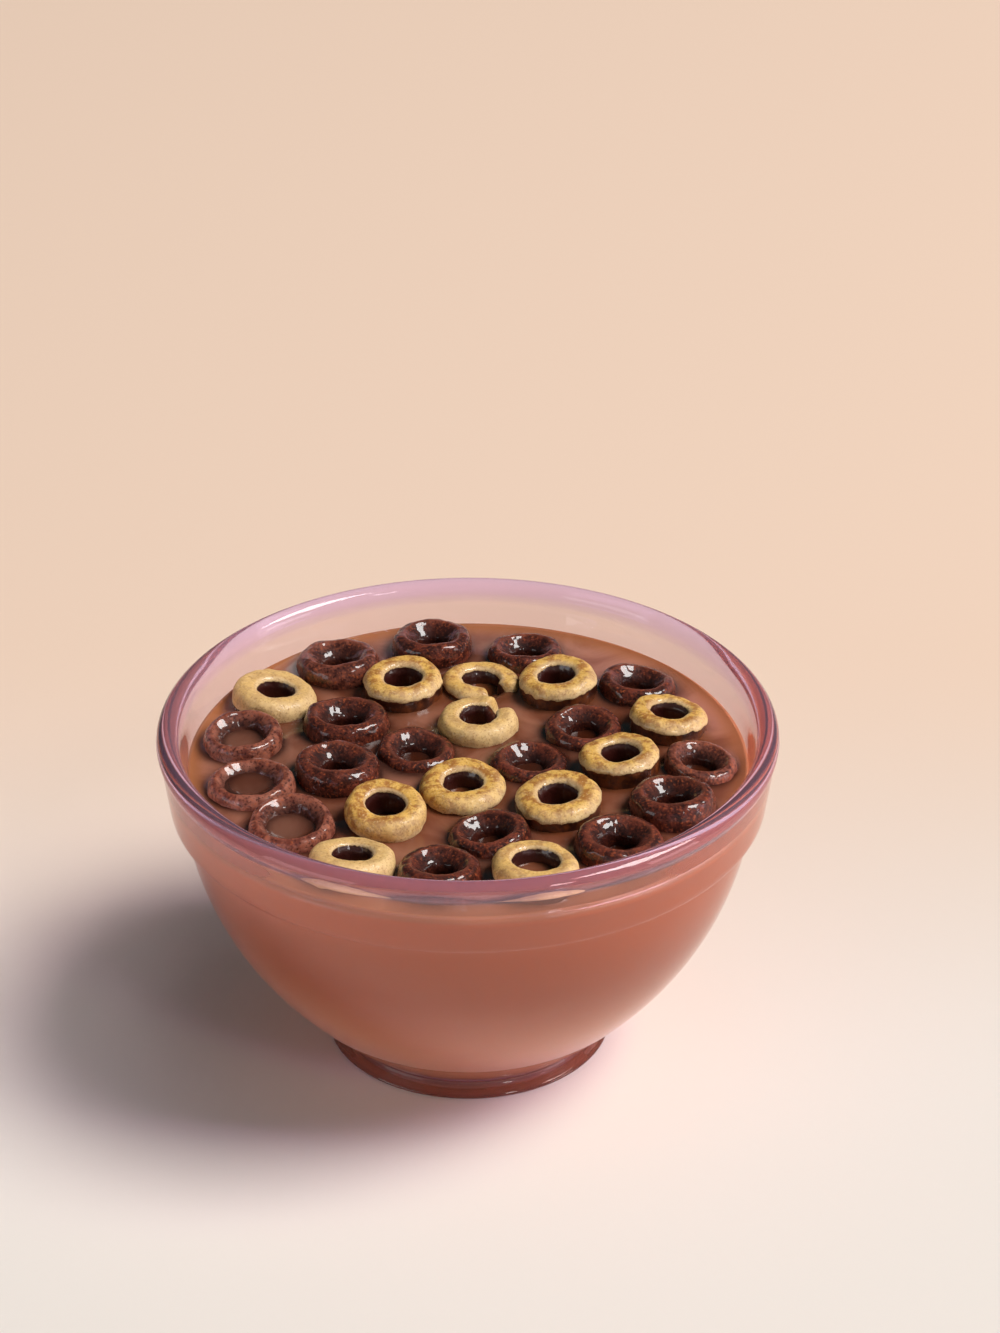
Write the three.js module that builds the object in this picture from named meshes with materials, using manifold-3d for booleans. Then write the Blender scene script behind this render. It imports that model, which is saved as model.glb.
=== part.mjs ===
// A small glass bowl of chocolate milk with cocoa and golden cereal rings afloat in it.
// Millimetres, +Z up. The origin is the middle of the foot, where it meets the table.

import * as THREE from "three";
import { mergeVertices } from "three/addons/utils/BufferGeometryUtils.js";
import Module from "manifold-3d";

const wasm = await Module();
wasm.setup();

// Bowl
const rimRadius = 45; // outermost, at the middle of the rim's bead
const height = 51.9;
const beadRadius = 1.6; // of the round bead along the rim
const bandTop = new THREE.Vector2(44.6, 48.9); // where the band runs into the bead
const bandFoot = new THREE.Vector2(43.5, 40.5); // lower edge of the straight band
const stepWidth = 1.75; // the ledge where the band steps in to the body
const footRadius = 21.1;
const waistRadius = 19.3; // narrowest, just above the foot
const waistHeight = 1.9;
const footEdge = 0.4; // the foot's softened lower edge
const recessRadius = 17.4; // the hollow under the foot
const recessDepth = 1.1;
const innerFloor = 4.6; // height of the inside at the middle
const innerFloorEdge = new THREE.Vector2(17.2, 5.3);
const wallBelowRim = new THREE.Vector2(41.7, 49.2);
const innerStep = new THREE.Vector2(39.3, 40);

// Milk
const milkLevel = 45;
const milkWallRadius = 40.5; // inside of the glass at the milk's level
const gap = 0.3; // between touching pieces

// Cereal rings, which all share one six-cornered section
const ringHalfHeight = 2.6;
const crownShare = 0.55; // of the section's half width, flat on top and underneath
const usualHole = 2.55; // radius of the hole at its narrowest
const pocketGap = 0.36; // the milk's room round a ring, wider than the gap for the facets' sake
const ovalness = 0.035; // how far a ring is from round, as a share of its radius

// Facets round the bowl and round a ring
const bowlSides = 32;
const ringSides = 12;

const materials = {
  glass: new THREE.MeshStandardMaterial({
    color: 0xd9a3a6,
    roughness: 0.05,
    metalness: 0,
    transparent: true,
    opacity: 0.45,
  }),
  milk: new THREE.MeshStandardMaterial({ color: 0x9a5c3f, roughness: 0.25, metalness: 0 }),
  cocoa: new THREE.MeshStandardMaterial({ color: 0x4a1c16, roughness: 0.35, metalness: 0 }),
  golden: new THREE.MeshStandardMaterial({ color: 0xcf9c4c, roughness: 0.6, metalness: 0 }),
};

// One closed body: shared corners merged, and triangles that a pole has squeezed to nothing left out.
function welded(geometry) {
  geometry.deleteAttribute("normal");
  geometry.deleteAttribute("uv");
  const merged = mergeVertices(geometry, 1e-4);
  const corners = merged.index.array;
  const kept = [];
  for (let i = 0; i < corners.length; i += 3) {
    const [a, b, c] = corners.slice(i, i + 3);
    if (a !== b && b !== c && c !== a) kept.push(a, b, c);
  }
  merged.setIndex(kept);
  return merged;
}

// Turns a profile of (radius, height) points round the Z axis.
function turned(profile, sides) {
  const geometry = new THREE.LatheGeometry(profile, sides);
  geometry.rotateX(Math.PI / 2);
  return welded(geometry);
}

function solid(geometry) {
  const mesh = new wasm.Mesh({
    numProp: 3,
    vertProperties: new Float32Array(geometry.attributes.position.array),
    triVerts: new Uint32Array(geometry.index.array),
  });
  return new wasm.Manifold(mesh);
}

function geometryOf(manifold) {
  const mesh = manifold.getMesh();
  const geometry = new THREE.BufferGeometry();
  geometry.setAttribute("position", new THREE.BufferAttribute(mesh.vertProperties, 3));
  geometry.setIndex([...mesh.triVerts]);
  return geometry;
}

function namedMesh(name, geometry, material) {
  const mesh = new THREE.Mesh(geometry, material);
  mesh.name = name;
  return mesh;
}

function curve(start, pullStart, pullEnd, end, steps) {
  return new THREE.CubicBezierCurve(start, pullStart, pullEnd, end).getPoints(steps);
}

// The body's outside, from the waist above the foot up to the step under the band.
function outerBody() {
  const waist = new THREE.Vector2(waistRadius, waistHeight);
  const shoulder = new THREE.Vector2(bandFoot.x - stepWidth, bandFoot.y - 0.6);
  return curve(waist, new THREE.Vector2(31.9, 12.6), new THREE.Vector2(39.7, 23.5), shoulder, 8);
}

// The inside below the milk's level, from the inner step down to the flat floor.
function innerBody() {
  const edge = innerFloorEdge;
  return curve(innerStep, new THREE.Vector2(37.4, 24.6), new THREE.Vector2(30.1, 15), edge, 7);
}

function beadArc(steps) {
  const centre = new THREE.Vector2(rimRadius - beadRadius, height - beadRadius);
  const points = [];
  for (let i = 0; i <= steps; i += 1) {
    const angle = (Math.PI * i) / steps;
    const x = centre.x + beadRadius * Math.cos(angle);
    const y = centre.y + beadRadius * Math.sin(angle);
    points.push(new THREE.Vector2(x, y));
  }
  return points;
}

function bowl() {
  const profile = [
    new THREE.Vector2(0, recessDepth),
    new THREE.Vector2(recessRadius - recessDepth, recessDepth),
    new THREE.Vector2(recessRadius, 0),
    new THREE.Vector2(footRadius - footEdge, 0),
    new THREE.Vector2(footRadius, footEdge),
    ...outerBody(),
    bandFoot,
    bandTop,
    ...beadArc(6),
    wallBelowRim,
    new THREE.Vector2(milkWallRadius, milkLevel),
    ...innerBody(),
    new THREE.Vector2(0, innerFloor),
  ];
  return namedMesh("bowl", turned(profile, bowlSides), materials.glass);
}

// A ring lying flat round the Z axis. grow widens its section on every side.
function ringGeometry({ radius, hole, heading }, grow) {
  const middle = (radius + hole) / 2;
  const halfWidth = (radius - hole) / 2 + grow;
  const halfHeight = ringHalfHeight + grow;
  const crown = halfWidth * crownShare;
  const corners = [
    [halfWidth, 0],
    [crown, halfHeight],
    [-crown, halfHeight],
    [-halfWidth, 0],
    [-crown, -halfHeight],
    [crown, -halfHeight],
    [halfWidth, 0],
  ];
  const profile = corners.map(([x, y]) => new THREE.Vector2(middle + x, y));
  const geometry = turned(profile, ringSides);
  const position = geometry.attributes.position;
  for (let i = 0; i < position.count; i += 1) {
    const x = position.getX(i);
    const y = position.getY(i);
    const stretch = 1 + ovalness * Math.cos(2 * (Math.atan2(y, x) - heading));
    position.setXY(i, x * stretch, y * stretch);
  }
  return geometry;
}

// Puts a mesh where a ring floats: its crown at its rise above the milk, dipping towards its heading.
function floatAt(mesh, { x, y, rise, lean, heading }) {
  const axis = new THREE.Vector3(-Math.sin(heading), Math.cos(heading), 0);
  mesh.position.set(x, y, milkLevel + rise - ringHalfHeight);
  mesh.quaternion.setFromAxisAngle(axis, lean);
  mesh.updateMatrix();
  return mesh;
}

const cocoa = "cocoa";
const golden = "golden";

// Every ring afloat: [kind, x, y, rise of its crown above the milk, outer radius,
// lean in degrees, the way it dips in degrees round from +X, and its hole if that isn't the usual].
const afloat = [
  // back row
  [cocoa, -19.6, 26.9, 3.2, 6.3, 5, 107],
  [cocoa, -5.5, 32.9, 3.3, 6.2, 5, 87],
  [cocoa, 8.7, 31, 2.1, 5.7, 4, 67],
  // second row
  [golden, -28.7, 16.8, 2.9, 6.3, 9, 27],
  [golden, -9.7, 18.9, 3.9, 5.9, 3, 277],
  [golden, 1.8, 21.4, 2, 5.7, 4, 7],
  [golden, 13.4, 19.6, 3.8, 5.9, 4, 207],
  [cocoa, 25.4, 20.6, 2.4, 5.8, 5, 47],
  // third row
  [cocoa, -32.7, 4.8, 3, 5.9, 4, 207, 2.9],
  [cocoa, -17.9, 9.4, 3, 6.3, 4, 97],
  [cocoa, -7.7, 1.6, 1.9, 5.8, 5, 337],
  [golden, 1.5, 9.3, 2.9, 5.8, 4, 247],
  [cocoa, 16.8, 7.7, 2.2, 5.8, 5, 307],
  [golden, 29.5, 9.1, 3.4, 5.7, 4, 37],
  // fourth row
  [cocoa, -31.2, -7.7, 2.4, 6.3, 3, 217, 3],
  [cocoa, -18.8, -4, 3.4, 6.3, 4, 67],
  [golden, -0.7, -9.3, 2.6, 6.3, 2, 257],
  [cocoa, 8.9, -1.4, 1.7, 5.8, 4, 27],
  [golden, 22, -3.5, 3.9, 5.7, 4, 137],
  [cocoa, 33.6, -2.5, 2.3, 5.4, 6, 347],
  // fifth row
  [cocoa, -25, -19.4, 2.7, 6.3, 5, 247, 3.3],
  [golden, -11.8, -17, 3.8, 5.7, 8, 287],
  [cocoa, 2.8, -21.8, 2.4, 5.8, 5, 177],
  [golden, 12.7, -14, 3.4, 6.3, 3, 247],
  [cocoa, 29, -14.2, 3.6, 6.2, 5, 117],
  // front row
  [golden, -16.2, -29.5, 3.1, 5.9, 6, 67],
  [cocoa, -4, -32, 3.2, 5.9, 4, 87],
  [golden, 9.3, -32.2, 3.6, 6.1, 4, 67, 3.1],
  [cocoa, 21.2, -24.7, 3.2, 6.2, 3, 327],
];

// Rings of each kind are numbered from the back of the bowl to the front.
function ringPlans() {
  const counts = { [cocoa]: 0, [golden]: 0 };
  return afloat.map(([kind, x, y, rise, radius, lean, heading, hole = usualHole]) => {
    counts[kind] += 1;
    return {
      kind,
      name: `ring_${kind}_${String(counts[kind]).padStart(2, "0")}`,
      x,
      y,
      rise,
      radius,
      hole,
      lean: THREE.MathUtils.degToRad(lean),
      heading: THREE.MathUtils.degToRad(heading),
    };
  });
}

function ring(plan) {
  return floatAt(namedMesh(plan.name, ringGeometry(plan, 0), materials[plan.kind]), plan);
}

// The room that a ring takes out of the milk, in the bowl's own frame.
function pocket(plan) {
  const room = floatAt(new THREE.Mesh(ringGeometry(plan, pocketGap)), plan);
  return solid(room.geometry.applyMatrix4(room.matrix));
}

// Milk from the bowl's floor up to its level, clear of the glass, with a pocket round each ring.
function milk(plans) {
  const wall = innerBody().map((point) => new THREE.Vector2(point.x - gap, point.y + gap));
  const profile = [
    new THREE.Vector2(0, innerFloor + gap),
    ...wall.reverse(),
    new THREE.Vector2(milkWallRadius - gap, milkLevel),
    new THREE.Vector2(0, milkLevel),
  ];
  let body = solid(turned(profile, bowlSides));
  for (const plan of plans) body = body.subtract(pocket(plan));
  return namedMesh("milk", geometryOf(body), materials.milk);
}

const plans = ringPlans();
const rings = new THREE.Group();
for (const plan of plans) rings.add(ring(plan));

const group = new THREE.Group();
group.add(bowl(), milk(plans), rings);

export default group;
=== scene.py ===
# %% [markdown]
# # A bowl of chocolate milk and cereal rings
# A small glass bowl, tinted pink, stands on a pale table. It is full of chocolate milk, and cocoa and
# golden cereal rings float in it, packed close. The solid model is loaded first and tells where
# everything is. Each step below then makes one thing in its finished form: the glass, the milk, the
# rings, and last the table and the light.

# %% Load the solid model and keep its box
import math

import bpy
import numpy as np
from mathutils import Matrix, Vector, noise


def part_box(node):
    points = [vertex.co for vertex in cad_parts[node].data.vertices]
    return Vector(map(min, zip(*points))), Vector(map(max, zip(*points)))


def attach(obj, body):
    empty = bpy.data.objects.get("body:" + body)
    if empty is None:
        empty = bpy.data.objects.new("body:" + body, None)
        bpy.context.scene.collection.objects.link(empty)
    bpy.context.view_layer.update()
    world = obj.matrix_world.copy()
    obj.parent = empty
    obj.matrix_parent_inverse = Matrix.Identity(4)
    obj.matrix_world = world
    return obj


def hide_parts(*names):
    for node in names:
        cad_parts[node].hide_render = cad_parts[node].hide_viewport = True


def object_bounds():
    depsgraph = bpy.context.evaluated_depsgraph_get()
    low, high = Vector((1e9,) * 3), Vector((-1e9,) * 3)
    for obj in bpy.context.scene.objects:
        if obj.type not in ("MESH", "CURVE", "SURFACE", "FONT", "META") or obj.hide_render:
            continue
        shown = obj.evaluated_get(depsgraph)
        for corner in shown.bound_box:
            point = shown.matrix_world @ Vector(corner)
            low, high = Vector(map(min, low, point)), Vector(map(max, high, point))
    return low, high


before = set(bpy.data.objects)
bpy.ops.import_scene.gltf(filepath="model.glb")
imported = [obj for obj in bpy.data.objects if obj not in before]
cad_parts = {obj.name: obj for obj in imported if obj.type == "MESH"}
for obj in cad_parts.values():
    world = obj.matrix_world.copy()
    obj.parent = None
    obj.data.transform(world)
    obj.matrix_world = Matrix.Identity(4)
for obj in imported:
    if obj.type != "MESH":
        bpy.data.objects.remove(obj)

cad_low, cad_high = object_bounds()
MM = 0.001
rim_radius = cad_high.x
bowl_height = cad_high.z
milk_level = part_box("milk")[1].z
print(f"the bowl is {2 * rim_radius / MM:.1f} mm across and {bowl_height / MM:.1f} mm tall")

# %% [markdown]
# ## The camera
# The bowl is seen from its front and from well above the table, through a long lens that keeps its rim
# round. The lens and the distance go together: a long lens from far away shows the bowl at the same
# size as a short one close by, but the near and far sides of the rim differ less.

# %% Place the camera
camera_distance = 6.522 * 2 * rim_radius
camera_height = math.radians(32.38)
aim_right = math.radians(0.536)
aim_up = math.radians(2.97)

camera_data = bpy.data.cameras.new("camera")
camera_data.lens = 107.2
camera_data.sensor_width = 36
camera = bpy.data.objects.new("camera", camera_data)
bpy.context.scene.collection.objects.link(camera)
bowl_middle = Vector((0, 0, bowl_height / 2))
away = Vector((0, -math.cos(camera_height), math.sin(camera_height)))
camera.location = bowl_middle + camera_distance * away
camera.rotation_euler = (math.pi / 2 - camera_height + aim_up, 0, -aim_right)
bpy.context.scene.camera = camera
print("the camera is", [round(c, 3) for c in camera.location])

# %% [markdown]
# ## Working by hand, in code
# An operator acts on all that is selected, so every step starts with nothing selected, and corners are
# picked by where they are.

# %% Helpers for selecting and finishing
def start_clean():
    """Leaves edit mode and selects nothing."""
    if bpy.context.object is not None and bpy.context.object.mode != "OBJECT":
        bpy.ops.object.mode_set(mode="OBJECT")
    bpy.ops.object.select_all(action="DESELECT")


def pick(piece):
    """Selects one piece and makes it the active one."""
    start_clean()
    piece.select_set(True)
    bpy.context.view_layer.objects.active = piece


def pick_corners(piece, wanted):
    """Opens a piece for editing with only some corners selected: wanted says which, one by one."""
    pick(piece)
    bpy.ops.object.mode_set(mode="EDIT")
    bpy.ops.mesh.select_mode(type="VERT")
    bpy.ops.mesh.select_all(action="DESELECT")
    bpy.ops.object.mode_set(mode="OBJECT")
    piece.data.vertices.foreach_set("select", np.asarray(wanted, dtype=bool))
    bpy.ops.object.mode_set(mode="EDIT")


def places(piece):
    """Every corner of a piece, as rows of x, y, z."""
    found = np.empty(len(piece.data.vertices) * 3)
    piece.data.vertices.foreach_get("co", found)
    return found.reshape(-1, 3)


def put(piece, corners):
    """Moves every corner of a piece to a new place."""
    piece.data.vertices.foreach_set("co", np.ascontiguousarray(corners, dtype=np.float32).ravel())
    piece.data.update()


def close_up(piece, merge=0.002 * MM):
    """Merges doubled corners, turns the faces outwards and shades them smooth."""
    pick(piece)
    bpy.ops.object.mode_set(mode="EDIT")
    bpy.ops.mesh.select_all(action="SELECT")
    bpy.ops.mesh.remove_doubles(threshold=merge)
    bpy.ops.mesh.normals_make_consistent(inside=False)
    bpy.ops.object.mode_set(mode="OBJECT")
    bpy.ops.object.shade_smooth()


def keep_place(piece):
    """Writes where a piece stands into its mesh, so that its object sits at the origin."""
    pick(piece)
    bpy.ops.object.transform_apply(location=True, rotation=True, scale=True)


def hand_over(piece, slot, *nodes):
    """Ties a finished piece to the model: it moves with the bowl and stands for its solids."""
    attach(piece, "root")
    if nodes:
        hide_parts(*nodes)

# %% [markdown]
# ## The outline of the glass
# Blown and pressed bowls are turned shapes, so one outline says everything: a foot with a hollow under
# it, a full round body, a ledge, a straight band, and a round bead for a rim. The outline could be a
# drawn curve, but an outline worked out from a few radii and heights can be checked against the solid
# model. Bends are cubic curves, and the bead is part of a circle.

# %% Curves that the outline is made of
def bend(start, pull_start, pull_end, end, steps):
    """Points along a cubic curve, without its first point."""
    found = []
    for i in range(1, steps + 1):
        t = i / steps
        weights = ((1 - t) ** 3, 3 * t * (1 - t) ** 2, 3 * t * t * (1 - t), t ** 3)
        found.append(tuple(
            sum(w * p[axis] for w, p in zip(weights, (start, pull_start, pull_end, end)))
            for axis in (0, 1)
        ))
    return found


def arc(middle, radius, start, end, steps):
    """Points along part of a circle, from one angle to another in degrees."""
    found = []
    for i in range(steps + 1):
        angle = math.radians(start + (end - start) * i / steps)
        found.append((middle[0] + radius * math.cos(angle), middle[1] + radius * math.sin(angle)))
    return found


def straight(start, end, steps):
    """Points along a straight line, without its first point."""
    return [
        tuple(a + (b - a) * i / steps for a, b in zip(start, end))
        for i in range(1, steps + 1)
    ]

# %% The outline, in millimetres from the axis and up from the table
top = bowl_height / MM
rim = rim_radius / MM
level = milk_level / MM
bead = 1.6  # the radius of the round bead along the rim
bead_middle = (rim - bead, top - bead)

foot_radius = 0.469 * rim
foot_edge = (foot_radius - 0.02, 0.5)
under_foot = (foot_radius - 0.7, 0.0)
recess_edge = (17.6, 0.03)
recess_corner = (15.6, 1.15)
waist = (0.429 * rim, 2.0)
shoulder = (rim - 3.25, top - 12.1)
band_foot = (rim - 1.55, top - 11.2)
milk_line = (40.5, level)  # where the milk's level meets the inside of the glass
inner_step = (rim - 5.7, level - 5)
floor_edge = (17.2, 5.3)
floor_middle = (0, 4.6)

# The glass and the milk share these bends, each given by the two points that pull it.
step_pulls = (40.1, level - 1.7), (39.7, level - 3.4)
wall_pulls = (37.4, 24.6), (30.1, 15)
floor_pulls = (13.0, 4.7), (6.0, 4.6)

outside = (
    [(0, recess_corner[1]), recess_corner]
    + bend(recess_corner, (16.6, 1.15), (16.9, 0.5), recess_edge, 5)
    + straight(recess_edge, under_foot, 2)
    + bend(under_foot, (foot_radius - 0.1, 0.0), (foot_radius, 0.15), foot_edge, 4)
    + bend(foot_edge, (foot_radius - 0.9, 1.0), (waist[0] - 0.1, 1.3), waist, 5)
    + bend(waist, (31.9, 12.7), (39.7, 23.5), shoulder, 32)
    + bend(shoulder, (shoulder[0] + 0.02, shoulder[1] + 0.5),
           (band_foot[0] - 0.1, band_foot[1] - 0.7), band_foot, 7)
    + straight(band_foot, (rim - 0.4, top - 3.0), 8)
)
over_the_rim = arc(bead_middle, bead, -38, 186, 28)
inside = (
    bend(over_the_rim[-1], (41.85, top - 2.9), (41.2, top - 4.4), milk_line, 8)
    + bend(milk_line, *step_pulls, inner_step, 5)
    + bend(inner_step, *wall_pulls, floor_edge, 28)
    + bend(floor_edge, *floor_pulls, floor_middle, 8)
)
outline = outside + over_the_rim + inside
print(len(outline), "points in the outline of the glass")

# %% [markdown]
# ## Turning the glass
# The outline is drawn by pulling one corner from point to point with extrude, and spin turns it round
# the Z axis. Revolving could be a Screw modifier too, but spin with a merge closes the seam and the
# two poles at once. Many steps are used because glass shows every facet.

# %% A helper that turns an outline into a closed piece
def turned(name, points, steps):
    """Draws an outline of (radius, height) points, in millimetres, and turns it round the Z axis."""
    start_clean()
    bpy.ops.mesh.primitive_plane_add(size=MM, location=(points[0][0] * MM, 0, points[0][1] * MM))
    piece = bpy.context.object
    piece.name = name
    keep_place(piece)
    bpy.ops.object.mode_set(mode="EDIT")
    bpy.ops.mesh.select_all(action="SELECT")
    bpy.ops.mesh.merge(type="CENTER")
    for here, there in zip(points, points[1:]):
        step = ((there[0] - here[0]) * MM, 0, (there[1] - here[1]) * MM)
        bpy.ops.mesh.extrude_region_move(TRANSFORM_OT_translate={"value": step})
    bpy.ops.mesh.select_all(action="SELECT")
    bpy.ops.mesh.spin(steps=steps, angle=2 * math.pi, center=(0, 0, 0), axis=(0, 0, 1))
    bpy.ops.object.mode_set(mode="OBJECT")
    close_up(piece)
    return piece

# %% Turn the bowl
glass_steps = 144
bowl = turned("glass_bowl", outline, glass_steps)
hand_over(bowl, "glass", "bowl")
print("the glass has", len(bowl.data.polygons), "faces")

# %% [markdown]
# ## Where the rings float
# Each ring of the solid model is a coarse ring with its own place, size and lean. Its middle is the
# mean of its corners. The direction in which its corners spread least is the axis through its hole.

# %% Measure every ring
wide_hole = 2.8 * MM  # a hole with a larger radius is full of milk


class RingPlace:
    """Where one ring floats, and its size, read from its solid."""

    def __init__(self, node):
        corners = np.unique(np.round(places(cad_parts[node]), 7), axis=0)
        self.node = node
        self.golden = "golden" in node
        self.middle = corners.mean(0)
        directions = np.linalg.eigh(np.cov((corners - self.middle).T))[1]  # the least spread is first
        self.axis = directions[:, 0] * (1 if directions[2, 0] > 0 else -1)
        along = (corners - self.middle) @ self.axis
        across = np.linalg.norm(corners - self.middle - np.outer(along, self.axis), axis=1)
        one_loop = len(corners) // 6  # six loops of corners run round every solid
        self.outer = np.sort(across)[-one_loop:].mean()
        self.hole = np.sort(across)[:one_loop].mean()
        self.half_height = along.max()
        self.open_hole = self.hole > wide_hole
        self.milk_in_hole = 0.5 * MM if self.open_hole else -0.9 * MM  # up from the milk's level


ring_places = [RingPlace(node) for node in sorted(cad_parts) if node.startswith("ring_")]
print(len(ring_places), "rings, outer radii from",
      f"{min(r.outer for r in ring_places) / MM:.2f} to {max(r.outer for r in ring_places) / MM:.2f} mm")

# %% [markdown]
# ## The milk
# Milk in a glass bowl touches the glass, with no air between. So its side reaches just into the wall.
# Its top isn't flat: it climbs the glass and every wet ring a little, which is what draws the bright
# and dark lines round them. The top starts as a fine square grid, is pressed into a round one, and its
# edge is then pulled down along the inside of the bowl, loop by loop.

# %% The milk's top as a round grid
into_wall = 0.12 * MM
wall_radius = milk_line[0] * MM
milk_radius = wall_radius + into_wall
squares = 168

start_clean()
bpy.ops.mesh.primitive_grid_add(
    x_subdivisions=squares, y_subdivisions=squares, size=2, location=(0, 0, milk_level))
milk = bpy.context.object
milk.name = "chocolate_milk"
keep_place(milk)
square = places(milk)
round_x = square[:, 0] * np.sqrt(1 - square[:, 1] ** 2 / 2)
round_y = square[:, 1] * np.sqrt(1 - square[:, 0] ** 2 / 2)
put(milk, np.column_stack([round_x * milk_radius, round_y * milk_radius, square[:, 2]]))
print(f"the milk's top is {2 * milk_radius / MM:.1f} mm across")

# %% Pull its edge down along the inside of the glass
def pull_edge_down(piece, edge_now, points):
    """Extrudes the outer edge loop through (radius, height) points, in millimetres."""
    corners = places(piece)
    radius = np.hypot(corners[:, 0], corners[:, 1])
    almost = 0.99995  # for what rounding takes off the radius
    pick_corners(piece, radius > edge_now[0] * MM * almost)
    for here, there in zip([edge_now] + points, points):
        bpy.ops.mesh.extrude_region_move(
            TRANSFORM_OT_translate={"value": (0, 0, (there[1] - here[1]) * MM)})
        share = there[0] / here[0]
        bpy.ops.transform.resize(value=(share, share, 1), center_override=(0, 0, there[1] * MM))
    bpy.ops.mesh.edge_face_add()
    bpy.ops.object.mode_set(mode="OBJECT")


wall_line = (
    bend(milk_line, *step_pulls, inner_step, 3)
    + bend(inner_step, *wall_pulls, floor_edge, 44)
    + bend(floor_edge, *floor_pulls, (2.0, floor_middle[1]), 3)
)
into = into_wall / MM
wall_line = [
    (r + into * r / milk_line[0], z - into * (1 - r / milk_line[0]))
    for r, z in wall_line
]
pull_edge_down(milk, (milk_radius / MM, level), wall_line)
close_up(milk)
print("its side goes down the glass in", len(wall_line), "loops")

# %% Let the milk climb the glass, and mark its stain and painted shade near the rings
def fades(distance, reach):
    """1 at a wall and less the farther from it: how a liquid climbs, and how stain and painted shade fade
    away from a ring.
    """
    return np.exp(-np.maximum(distance, 0) / reach)


surface = places(milk)
top_side = surface[:, 2] > milk_level - 0.01 * MM
from_axis = np.hypot(surface[:, 0], surface[:, 1])
lift = 0.6 * MM * fades(milk_radius - from_axis, 1.0 * MM)
# Round each ring and in its hole the milk is marked darker: partly a stain from what soaks out of the
# ring, partly painted shade and painted reflection of the dark rings.
stains_and_shade = {"golden_stain_and_shade": np.zeros(len(surface)), "cocoa_stain_and_shade": np.zeros(len(surface))}
for place in ring_places:
    flat = np.hypot(surface[:, 0] - place.middle[0], surface[:, 1] - place.middle[1])
    around_it = flat > (place.outer + place.hole) / 2
    beside = fades(flat - place.outer + 0.4 * MM, 0.9 * MM)
    soaked = fades(flat - place.outer, 1.2 * MM)
    within = fades(place.hole - flat, 0.7 * MM)
    lift = lift + np.where(around_it, 0.55 * MM * beside, place.milk_in_hole + 0.5 * MM * within)
    # A narrow hole is darkened all over; a wide one, full of milk, less towards its middle.
    deep = 0.6 + 0.35 * within if place.open_hole else 1.0
    stain_and_shade = np.where(around_it, soaked, deep)
    name = "golden_stain_and_shade" if place.golden else "cocoa_stain_and_shade"
    stains_and_shade[name] = 1 - (1 - stains_and_shade[name]) * (1 - stain_and_shade)
highest = 1.1 * MM
surface[:, 2] = np.where(top_side, surface[:, 2] + np.minimum(lift, highest), surface[:, 2])
put(milk, surface)


def write_marks(piece, name, values):
    """Keeps one number per corner with the mesh, for a finish to read."""
    mark = piece.data.attributes.new(name, "FLOAT", "POINT")
    mark.data.foreach_set("value", np.asarray(values, dtype=np.float32))


for name, values in stains_and_shade.items():
    write_marks(milk, name, np.where(top_side, values, 0))
hand_over(milk, "chocolate_milk", "milk")
print("the milk has", len(milk.data.polygons), "faces")

# %% [markdown]
# ## One ring, made once
# Cereal rings are puffed dough: round in section, a little flat on top, never quite even. A torus is
# only the start. It is made once, with dough of radius 1, and copied for every ring that floats. Each
# copy has a mesh of its own, so it can be pressed to its own section and lumps. A torus with fewer
# corners and a subdivision modifier would be smoother, but the crumbs and the crust need the corners.

# %% The master ring
around, section = 150, 64
swing = 2.4  # from the axis to the middle of the dough, where the dough's own radius is 1
start_clean()
bpy.ops.mesh.primitive_torus_add(
    major_segments=around, minor_segments=section, major_radius=swing, minor_radius=1)
master_ring = bpy.context.object
master_ring.name = "master_ring"
master_corners = places(master_ring)
turn = np.arctan2(master_corners[:, 1], master_corners[:, 0])
off = np.hypot(master_corners[:, 0], master_corners[:, 1]) - swing
up = master_corners[:, 2]
print("the master ring has", len(master_ring.data.polygons), "faces")

# %% [markdown]
# ## Every ring gets its own lumps
# The copies are brought to the size, lean and place of their solids. Lumps come from noise that reads
# the place in the bowl, so no two rings are alike: broad swellings first, then small dimples like
# those that bubbles leave. A cocoa ring has a crater round its hole, inside a raised crest. The crown
# of a golden ring stays dry, a crust that stands a little proud of the soaked part below it, with a
# ragged edge. Two rings are broken: there the dough thins out and sinks.

# %% What is special about some rings
# Paleness is each ring's own lighter tone; for ring_cocoa_09 it is also painted light, making up for the
# shade that ring sits in.
usual_paleness = 0.12
paleness = {
    "ring_cocoa_01": 0.35, "ring_cocoa_05": 0.75, "ring_cocoa_09": 0.85, "ring_cocoa_12": 0.5,
    "ring_cocoa_13": 0.85, "ring_golden_01": 0.9, "ring_golden_03": 0.35, "ring_golden_05": 0.8,
    "ring_golden_11": 0.95, "ring_golden_12": 0.6,
}
usual_crust_edge = 0.5
crust_edges = {  # as a share of half the ring's height, up from its middle
    "ring_golden_01": -0.1, "ring_golden_05": 0.0, "ring_golden_09": -0.1, "ring_golden_11": -0.2,
    "ring_golden_12": 0.15, "ring_golden_07": 0.3,
}
breaks = {  # where round the ring, how wide in radians, and how deep as a share
    "ring_golden_03": (math.radians(-50), 0.4, 1.1),
    "ring_golden_05": (math.radians(40), 0.3, 0.9),
}
print(len(paleness), "rings are paler than usual and", len(breaks), "are broken")

# %% Shape one copy
def squared(value, power):
    """Pushes a sine towards its ends, which turns a circle into a fuller section."""
    return np.sign(value) * np.abs(value) ** power


def ring_noise(points, size, seed):
    """Smooth noise at every point, about -1 to 1, with lumps of the given size."""
    shift = Vector((seed * 7.3, seed * 3.1, seed * 5.7))
    return np.array([noise.noise(Vector(p) / size + shift) for p in points])


crest_inset = 0.1  # the crest lies this far towards the hole from the middle of the dough
crest_width = 0.12


def crest_share():
    """1 along the raised line round the crater of a cocoa ring, 0 away from it."""
    return np.where(up > 0, np.exp(-((off + crest_inset) / crest_width) ** 2), 0)


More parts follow.
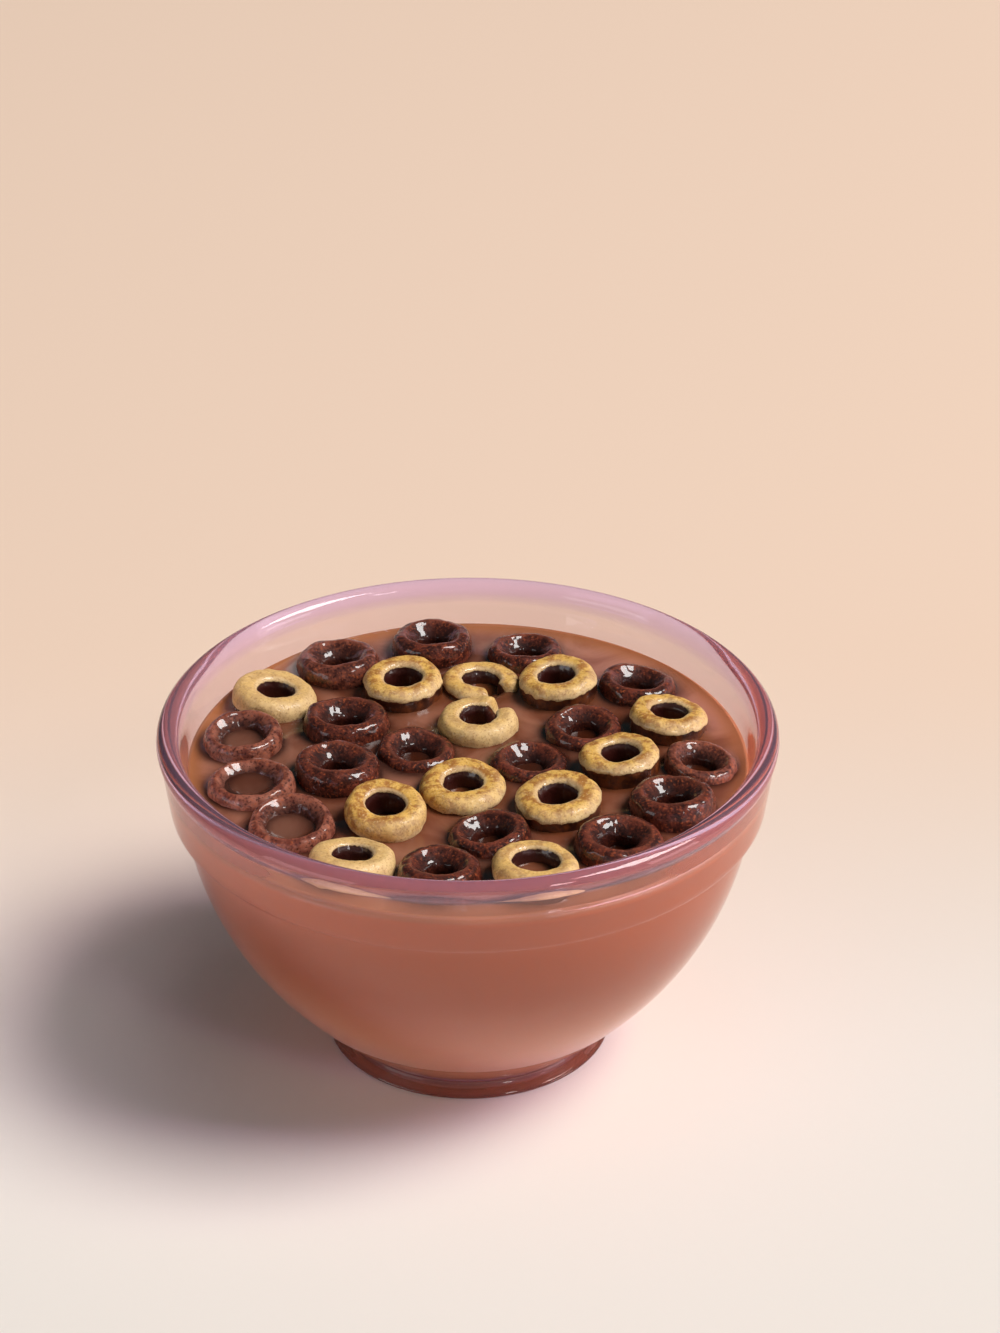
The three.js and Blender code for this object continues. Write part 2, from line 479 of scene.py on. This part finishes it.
def ring_section(place):
    """How far each corner is out from the middle of the dough, and how high, as shares."""
    if place.golden:
        high = squared(up, 0.62) - 0.05 * np.clip(up, 0, 1) * off ** 2
        return squared(off, 0.8) * (1 - 0.1 * np.clip(0.5 - high, 0, 1)), high
    lean_out = 0.26 * np.clip(up, 0, 1) * (1 - off ** 2)
    crater = 0.3 * np.clip(-off - crest_inset, 0, 1) * np.clip(up, 0, 1)
    return squared(off, 0.88) + lean_out, squared(up, 0.88) - 0.06 + 0.06 * crest_share() - crater


def ring_corners(place, seed):
    """Every corner of one ring in the bowl, and its height above the ring's middle."""
    out, high = ring_section(place)
    hole = place.hole * (1 if place.open_hole else 0.95 if place.golden else 0.84)
    half_width = (place.outer - hole) / 2
    middle_radius = (place.outer + hole) / 2
    where, width, depth = breaks.get(place.node, (0, 1, 0))
    apart = (turn - where + math.pi) % (2 * math.pi) - math.pi
    gap = depth * np.exp(-np.abs(apart / width) ** 4)
    wobble = 0.05 * np.sin(turn + seed) + 0.04 * np.sin(2 * turn + 2.3 * seed)
    radius = middle_radius * (1 + 0.6 * wobble) + half_width * (1 - 0.7 * gap) * out
    height = place.half_height * ((1 - 0.6 * gap) * high * (1 + wobble) - 0.8 * gap)
    height = np.minimum(height, place.half_height)
    axis = Vector(place.axis)
    long_way = Vector((1, 0, 0)) - axis * axis.x
    long_way.normalize()
    ways = np.array([long_way, axis.cross(long_way), axis])
    local = np.column_stack([radius * np.cos(turn), radius * np.sin(turn), height])
    return place.middle + local @ ways, height


def crust_height(place, height, lumps, dimples):
    """How far each corner is above the crust's edge. The edge is lower outside than in the hole."""
    edge = crust_edges.get(place.node, usual_crust_edge)
    outer_edge, hole_edge = edge * place.half_height, 0.8 * place.half_height
    share = np.clip(off * 2 + 1, 0, 1)
    ragged = (0.3 * lumps + 0.12 * dimples) * (0.3 + 0.7 * share) * MM
    return height - (hole_edge + (outer_edge - hole_edge) * share) + ragged


def make_ring(place, seed):
    """Copies the master ring, gives the copy its lumps and marks, and ties it to its solid."""
    pick(master_ring)
    bpy.ops.object.duplicate()
    ring = bpy.context.object
    ring.name = place.node + "_baked"
    corners, height = ring_corners(place, seed)
    put(ring, corners)
    normals = np.empty(len(ring.data.vertices) * 3, dtype=np.float32)
    ring.data.vertices.foreach_get("normal", normals)
    normals = normals.reshape(-1, 3)
    broad = ring_noise(corners, 3.2 * MM, seed)
    lumps = ring_noise(corners, 1.3 * MM, seed + 20)
    dimples = ring_noise(corners, 0.55 * MM, seed + 40)
    above = crust_height(place, height, lumps, dimples)
    swell = 0.26 * MM * broad + 0.11 * MM * lumps - 0.08 * MM * np.maximum(dimples, 0)
    if place.golden:
        crust_thickness = 0.16 * MM
        swell = swell + crust_thickness * np.clip(above / (0.3 * MM) + 0.5, 0, 1)
    put(ring, corners + normals * swell[:, None])
    write_marks(ring, "above_edge", above / MM)
    write_marks(ring, "in_hole", np.clip(-(off + 0.3) * 2.2, 0, 1))
    write_marks(ring, "crest", crest_share())
    # Painted highlight: 1 on the outer side towards the front right, where the crown is painted paler.
    write_marks(ring, "painted_sheen_side", np.clip(np.cos(turn + 0.9), 0, 1) * np.clip(off * 2, 0, 1))
    write_marks(ring, "paleness", np.full(len(corners), paleness.get(place.node, usual_paleness)))
    pick(ring)
    bpy.ops.object.shade_smooth()
    hand_over(ring, "golden_ring" if place.golden else "cocoa_ring", place.node)
    return ring


rings = [make_ring(place, seed + 1) for seed, place in enumerate(ring_places)]
bpy.data.objects.remove(master_ring)
print(len(rings), "rings shaped")

# %% [markdown]
# ## Writing finishes as sums
# A finish is a small program of nodes. Wrapping a socket in a class with the usual operators lets the
# program be written as it is read: an expression such as 1 - mask adds its Math node by itself.

# %% A class for sockets and one for finishes
# A Mix node has sockets for numbers, vectors and colours. These are the numbers of its colour sockets.
FIRST_COLOUR, SECOND_COLOUR, MIXED_COLOUR = 6, 7, 2


class Wire:
    """One output socket of a finish. Sums and products of wires add Math nodes."""

    def __init__(self, finish, socket):
        self.finish = finish
        self.socket = socket

    def sum_of(self, operation, first, second):
        return self.finish.node("ShaderNodeMath", {"operation": operation}, {0: first, 1: second})

    def __add__(self, other):
        return self.sum_of("ADD", self, other)

    def __sub__(self, other):
        return self.sum_of("SUBTRACT", self, other)

    def __rsub__(self, other):
        return self.sum_of("SUBTRACT", other, self)

    def __mul__(self, other):
        return self.sum_of("MULTIPLY", self, other)

    __radd__ = __add__
    __rmul__ = __mul__


class Finish:
    """A material that is being put together from nodes."""

    def __init__(self, name):
        self.material = bpy.data.materials.new(name)
        self.material.use_nodes = True
        self.tree = self.material.node_tree
        self.tree.nodes.clear()
        self.place = self.node("ShaderNodeTexCoord", output="Object")

    def node(self, kind, settings=None, sockets=None, output=0):
        """Adds any node: its settings first, then the values or wires of its sockets."""
        made = self.tree.nodes.new(kind)
        for key, value in (settings or {}).items():
            setattr(made, key, value)
        for key, value in (sockets or {}).items():
            if isinstance(value, Wire):
                self.tree.links.new(value.socket, made.inputs[key])
            else:
                made.inputs[key].default_value = value
        return Wire(self, made.outputs[output]) if len(made.outputs) else made

    def height(self):
        """How high a spot is above the table, in metres."""
        return self.node("ShaderNodeSeparateXYZ", None, {"Vector": self.place}, "Z")

    def noise(self, size, detail=3.0, roughness=0.55, distortion=0.0):
        """Noise from 0 to 1 with patches of the given size, in millimetres."""
        return self.node("ShaderNodeTexNoise", None, {
            "Vector": self.place, "Scale": 1 / (size * MM), "Detail": detail,
            "Roughness": roughness, "Distortion": distortion})

    def cells(self, size):
        """How far a spot is from the middle of the nearest cell, for pits of the given size."""
        return self.node("ShaderNodeTexVoronoi", None, {
            "Vector": self.place, "Scale": 1 / (size * MM)}, "Distance")

    def step(self, value, low, high):
        """A soft step: 0 below low, 1 above high."""
        return self.node("ShaderNodeMapRange", {"interpolation_type": "SMOOTHSTEP"}, {
            "Value": value, "From Min": low, "From Max": high, "To Min": 0.0, "To Max": 1.0})

    def mix(self, share, first, second):
        """A colour between two others."""
        return self.node("ShaderNodeMix", {"data_type": "RGBA", "blend_type": "MIX"}, {
            "Factor": share, FIRST_COLOUR: first, SECOND_COLOUR: second}, MIXED_COLOUR)

    def attribute(self, name):
        """The number that was kept with the mesh under this name."""
        return self.node("ShaderNodeAttribute", {"attribute_name": name}, None, "Fac")

    def bump(self, height, depth, strength=1.0):
        """Turns a height from 0 to 1 into bent normals. depth is how tall 1 is, in millimetres."""
        return self.node("ShaderNodeBump", None, {
            "Height": height, "Distance": depth * MM, "Strength": strength})

    def close(self, surface, volume=None):
        """Ends the finish with what its surface, and perhaps its inside, are made of."""
        wires = {"Surface": surface}
        if volume is not None:
            wires["Volume"] = volume
        self.node("ShaderNodeOutputMaterial", None, wires)
        return self.material


def colour(red, green, blue):
    """A colour given as it looks on a screen, 0 to 255, turned into the linear light that shaders use."""
    def linear(value):
        share = value / 255
        return share / 12.92 if share <= 0.04045 else ((share + 0.055) / 1.055) ** 2.4
    return (linear(red), linear(green), linear(blue), 1.0)


def dress(piece, material):
    """Gives a piece one finish all over."""
    piece.data.materials.clear()
    piece.data.materials.append(material)

# %% [markdown]
# ## Tinted glass
# The tint is in the glass, not on it: thin walls look pale pink, the thick bead looks lilac and the
# foot maroon. A volume that absorbs light does most of that by itself. Poured glass is never quite
# clear either, so a little matt haze is mixed in, more of it in the band and the bead. A path tracer
# lets little light through glass on its way to a lamp, so for shadow rays alone the glass is swapped
# for a clear tinted film.

# %% Glass finish
def glass_finish():
    f = Finish("tinted_glass")
    height = f.height()
    bead_share = f.step(height, bowl_height - 3.4 * MM, bowl_height - 2.2 * MM)
    band_share = f.step(height, bowl_height - 12.5 * MM, bowl_height - 10.5 * MM)
    foot_share = f.step(height, 2.4 * MM, 1.4 * MM)
    ripple = f.noise(9, 2.0) * 0.7 + f.noise(2.5, 1.0) * 0.3
    clear = f.mix(bead_share, (0.99, 0.93, 0.9, 1), (0.92, 0.81, 1, 1))
    glass = f.node("ShaderNodeBsdfPrincipled", None, {
        "Base Color": f.mix(foot_share, clear, (0.42, 0.25, 0.21, 1)),
        "Roughness": f.noise(4, 3.0) * 0.03,
        "IOR": 1.46,
        "Transmission Weight": 1.0,
        "Normal": f.bump(ripple, 0.05, 0.4),
    })
    haze = f.node("ShaderNodeBsdfPrincipled", None, {
        "Base Color": f.mix(bead_share, colour(228, 176, 156), colour(214, 164, 188)),
        "Roughness": 0.6,
    })
    cloudy = 0.05 + 0.045 * band_share + 0.055 * bead_share
    frost = f.node("ShaderNodeMixShader", None, {0: cloudy, 1: glass, 2: haze})
    film = f.node("ShaderNodeBsdfTransparent", None, {"Color": (0.95, 0.92, 0.92, 1)})
    shadow = f.node("ShaderNodeLightPath", None, None, "Is Shadow Ray")
    surface = f.node("ShaderNodeMixShader", None, {0: shadow, 1: frost, 2: film})
    volume = f.node("ShaderNodeVolumeAbsorption", None, {
        "Color": (0.72, 0.5, 0.96, 1), "Density": 44.0})
    return f.close(surface, volume)


dress(bowl, glass_finish())
print("the glass is dressed in", bowl.data.materials[0].name)

# %% [markdown]
# ## Chocolate milk
# Opaque, a little see-into, and glossy as any liquid. Fat and cocoa never mix evenly, so faint cloudy
# swirls run through the colour. Thin milk at the wall looks amber. Round the rings and in their holes
# it is darker: partly stained by what has soaked out of them, partly painted shade and painted
# reflection of the dark rings.

# %% Milk finish
def milk_finish():
    f = Finish("chocolate_milk")
    height = f.height()
    swirl = f.step(f.noise(11, 4.0, 0.5, 1.2), 0.35, 0.7)
    top_tone = f.mix(swirl, colour(134, 76, 55), colour(176, 115, 92))
    # Painted light: the milk's side, seen through the glass, is painted lighter than its top, and lighter
    # still towards the bottom.
    lit_side_tone = f.mix(f.step(height, 6 * MM, 30 * MM), colour(246, 172, 120), colour(174, 91, 48))
    top_side = f.step(height, milk_level - 1 * MM, milk_level - 0.3 * MM)
    tone = f.mix(top_side, lit_side_tone, top_tone)
    from_axis = f.node("ShaderNodeVectorMath", {"operation": "LENGTH"}, {
        0: f.node("ShaderNodeVectorMath", {"operation": "MULTIPLY"}, {
            0: f.place, 1: (1, 1, 0)})}, "Value")
    at_wall = f.step(from_axis, 37 * MM, wall_radius) * top_side
    tone = f.mix(at_wall * 0.85, tone, colour(168, 104, 64))
    # Painted shade and painted reflection of the dark rings, with some stain, round the rings and in
    # their holes.
    tone = f.mix(f.attribute("golden_stain_and_shade") * 0.8, tone, colour(92, 44, 14))
    tone = f.mix(f.attribute("cocoa_stain_and_shade") * 0.92, tone, colour(40, 10, 5))
    surface = f.node("ShaderNodeBsdfPrincipled", None, {
        "Base Color": tone,
        "Roughness": 0.12 + 0.1 * f.noise(3, 2.0),
        "IOR": 1.35,
        "Subsurface Weight": 0.15,
        "Subsurface Radius": (1.0, 0.5, 0.3),
        "Subsurface Scale": 1.0 * MM,
        "Coat Weight": 0.35 * top_side,
        "Coat Roughness": 0.03,
        "Normal": f.bump(f.noise(1.6, 2.0) * top_side, 0.04, 0.5),
    })
    return f.close(surface)


dress(milk, milk_finish())
print("the milk is dressed in", milk.data.materials[0].name)

# %% [markdown]
# ## Cocoa rings
# Dark baked dough under a film of milk. The dough is mottled, from nearly black in its pits to reddish
# brown where it is worn thin, and paler along the crest round its crater. The film is a coat, which
# gives sharp small highlights over a duller dough.

# %% Cocoa finish
def cocoa_finish():
    f = Finish("cocoa_ring")
    patches = f.noise(1.6, 4.0, 0.65)
    flecks = f.noise(0.4, 3.0, 0.6)
    pits = f.cells(0.7)
    pale = f.attribute("paleness")
    tone = f.mix(f.step(patches, 0.38, 0.64), colour(42, 8, 4), colour(94, 30, 15))
    pale_tone = f.mix(f.step(patches, 0.36, 0.64), colour(112, 54, 42), colour(172, 106, 86))
    tone = f.mix(pale, tone, pale_tone)
    tone = f.mix(f.step(flecks, 0.56, 0.68) * 0.65, tone, colour(172, 84, 44))
    tone = f.mix(f.step(flecks, 0.46, 0.34) * 0.7, tone, colour(30, 8, 6))
    tone = f.mix(f.attribute("crest") * 0.4, tone, colour(146, 76, 54))
    # Painted shade: the hole is darkened nearly to black.
    tone = f.mix(f.attribute("in_hole") * 0.75, tone, colour(40, 8, 4))
    height = patches * 0.5 + flecks * 0.3 + f.step(pits, 0.05, 0.35) * 0.3
    surface = f.node("ShaderNodeBsdfPrincipled", None, {
        "Base Color": tone,
        "Roughness": 0.45 + 0.2 * flecks,
        "Specular IOR Level": 0.15,
        "Coat Weight": 0.8,
        "Coat Roughness": 0.05,
        "Coat IOR": 1.5,
        "Normal": f.bump(height, 0.2, 0.7),
    })
    return f.close(surface)

# %% [markdown]
# ## Golden rings
# Two finishes meet on one ring. The crown is dry toasted grain: pale, rough and dusted with darker
# crumbs, with a painted highlight that pales its outer side towards the front right. Below its ragged
# edge the dough is soaked: dark amber and wet.
# How far a spot is above that edge was written into the mesh, and fine noise frays the line.

# %% Golden finish
def golden_finish():
    f = Finish("golden_ring")
    grain = f.noise(0.32, 3.0, 0.6)
    toast = f.noise(1.5, 4.0, 0.6)
    above = f.attribute("above_edge")
    dry = f.step(above + (grain - 0.5) * 0.4, -0.06, 0.06)
    pale = f.attribute("paleness")
    toasted = f.step(toast + 0.2 * f.attribute("in_hole"), 0.42, 0.6)
    crown = f.mix(toasted, colour(228, 174, 80), colour(162, 96, 16))
    crown = f.mix(pale * 0.8, crown, colour(224, 182, 120))
    crown = f.mix(f.step(above, 1.1, 0.1) * 0.7, crown, colour(236, 200, 148))
    # Painted highlight: the crown's outer side towards the front right is painted paler.
    crown = f.mix(f.attribute("painted_sheen_side") * 0.45, crown, colour(242, 208, 158))
    crown = f.mix(f.step(grain, 0.54, 0.68) * 0.55, crown, colour(146, 86, 26))
    crown = f.mix(f.step(grain, 0.44, 0.3) * 0.5, crown, colour(244, 212, 158))
    soaked = f.mix(f.step(toast, 0.4, 0.65), colour(54, 15, 2), colour(108, 50, 10))
    # Painted shade: the wall of the hole is darkened.
    soaked = f.mix(f.attribute("in_hole"), soaked, colour(58, 14, 7))
    surface = f.node("ShaderNodeBsdfPrincipled", None, {
        "Base Color": f.mix(dry, soaked, crown),
        "Roughness": 0.45 + 0.25 * dry,
        "Coat Weight": 0.9 - 0.75 * dry + 0.5 * dry * f.step(above, 0.8, 0.1),
        "Coat Roughness": 0.05,
        "Coat IOR": 1.5,
        "Normal": f.bump(grain * 0.6 + toast * 0.4, 0.14, 0.8),
    })
    return f.close(surface)


cocoa, golden = cocoa_finish(), golden_finish()
for ring, place in zip(rings, ring_places):
    dress(ring, golden if place.golden else cocoa)
print(sum(place.golden for place in ring_places), "rings are golden, the others cocoa")

# %% [markdown]
# ## The table and the light
# A pale matt table turns from cream to peach behind the bowl. One large soft lamp from the right, high
# up, makes the light and the shadow. Two low lamps light the sides of the bowl and hardly touch the
# table, and a small one puts the glints on the wet rings. The sky is dim, to keep the shadow deep, but
# what is seen through the glass gets a bright peach one, as in a room with pale walls.

# %% Table
start_clean()
bpy.ops.mesh.primitive_plane_add(size=6, location=(0, 0, 0))
table = bpy.context.object
table.name = "table"


def table_finish():
    f = Finish("pale_table")
    depth = f.node("ShaderNodeSeparateXYZ", None, {"Vector": f.place}, "Y")
    share = f.step(depth, -0.03, 0.12)
    paper = f.noise(1.5, 3.0)
    tone = f.mix(share, colour(238, 227, 219), colour(242, 210, 188))
    tone = f.mix(paper * 0.02, tone, colour(200, 170, 150))
    surface = f.node("ShaderNodeBsdfPrincipled", None, {"Base Color": tone, "Roughness": 0.9})
    return f.close(surface)


dress(table, table_finish())
print("the table is laid under the bowl")

# %% Lamps and sky
def soft_lamp(name, turn_right, height, distance, size, power, tint):
    """An area lamp aimed at the bowl.

    turn_right and height are in degrees: round from the front towards the right, and up from the table.
    distance and size are in metres, and power is in watts.
    """
    lamp_data = bpy.data.lights.new(name, "AREA")
    lamp_data.shape = "SQUARE"
    lamp_data.size = size
    lamp_data.energy = power
    lamp_data.color = tint
    lamp = bpy.data.objects.new(name, lamp_data)
    bpy.context.scene.collection.objects.link(lamp)
    round_by, up_by = math.radians(turn_right), math.radians(height)
    flat = math.cos(up_by)
    towards = Vector((math.sin(round_by) * flat, -math.cos(round_by) * flat, math.sin(up_by)))
    lamp.location = bowl_middle + distance * towards
    lamp.rotation_euler = towards.to_track_quat("Z", "Y").to_euler()
    return lamp


lamps = [
    soft_lamp("key_lamp", 85, 53, 4.5, 2.0, 230, (1, 0.985, 0.965)),
    soft_lamp("side_fill", 74, 9, 2.2, 0.8, 6.5, (1, 0.98, 0.96)),
    soft_lamp("low_fill", -56, 8, 2.0, 1.2, 9.0, (0.97, 0.98, 1)),
    soft_lamp("glint_lamp", 35, 36, 2.2, 0.3, 4, (1, 0.99, 0.98)),
]
print(len(lamps), "lamps light the bowl")

sky = bpy.data.worlds.new("studio")
sky.use_nodes = True
background = sky.node_tree.nodes["Background"]
seen_through = sky.node_tree.nodes.new("ShaderNodeLightPath").outputs["Is Transmission Ray"]
tint = sky.node_tree.nodes.new("ShaderNodeMix")
tint.data_type = "RGBA"
tint.inputs[FIRST_COLOUR].default_value = (0.45, 0.92, 1, 1)
tint.inputs[SECOND_COLOUR].default_value = (0.95, 0.82, 0.76, 1)
sky.node_tree.links.new(seen_through, tint.inputs[0])
sky.node_tree.links.new(tint.outputs[MIXED_COLOUR], background.inputs["Color"])
strength = sky.node_tree.nodes.new("ShaderNodeMapRange")
strength.inputs["To Min"].default_value = 0.07
strength.inputs["To Max"].default_value = 0.6
sky.node_tree.links.new(seen_through, strength.inputs["Value"])
sky.node_tree.links.new(strength.outputs["Result"], background.inputs["Strength"])
bpy.context.scene.world = sky
bpy.context.scene.view_settings.view_transform = "Standard"
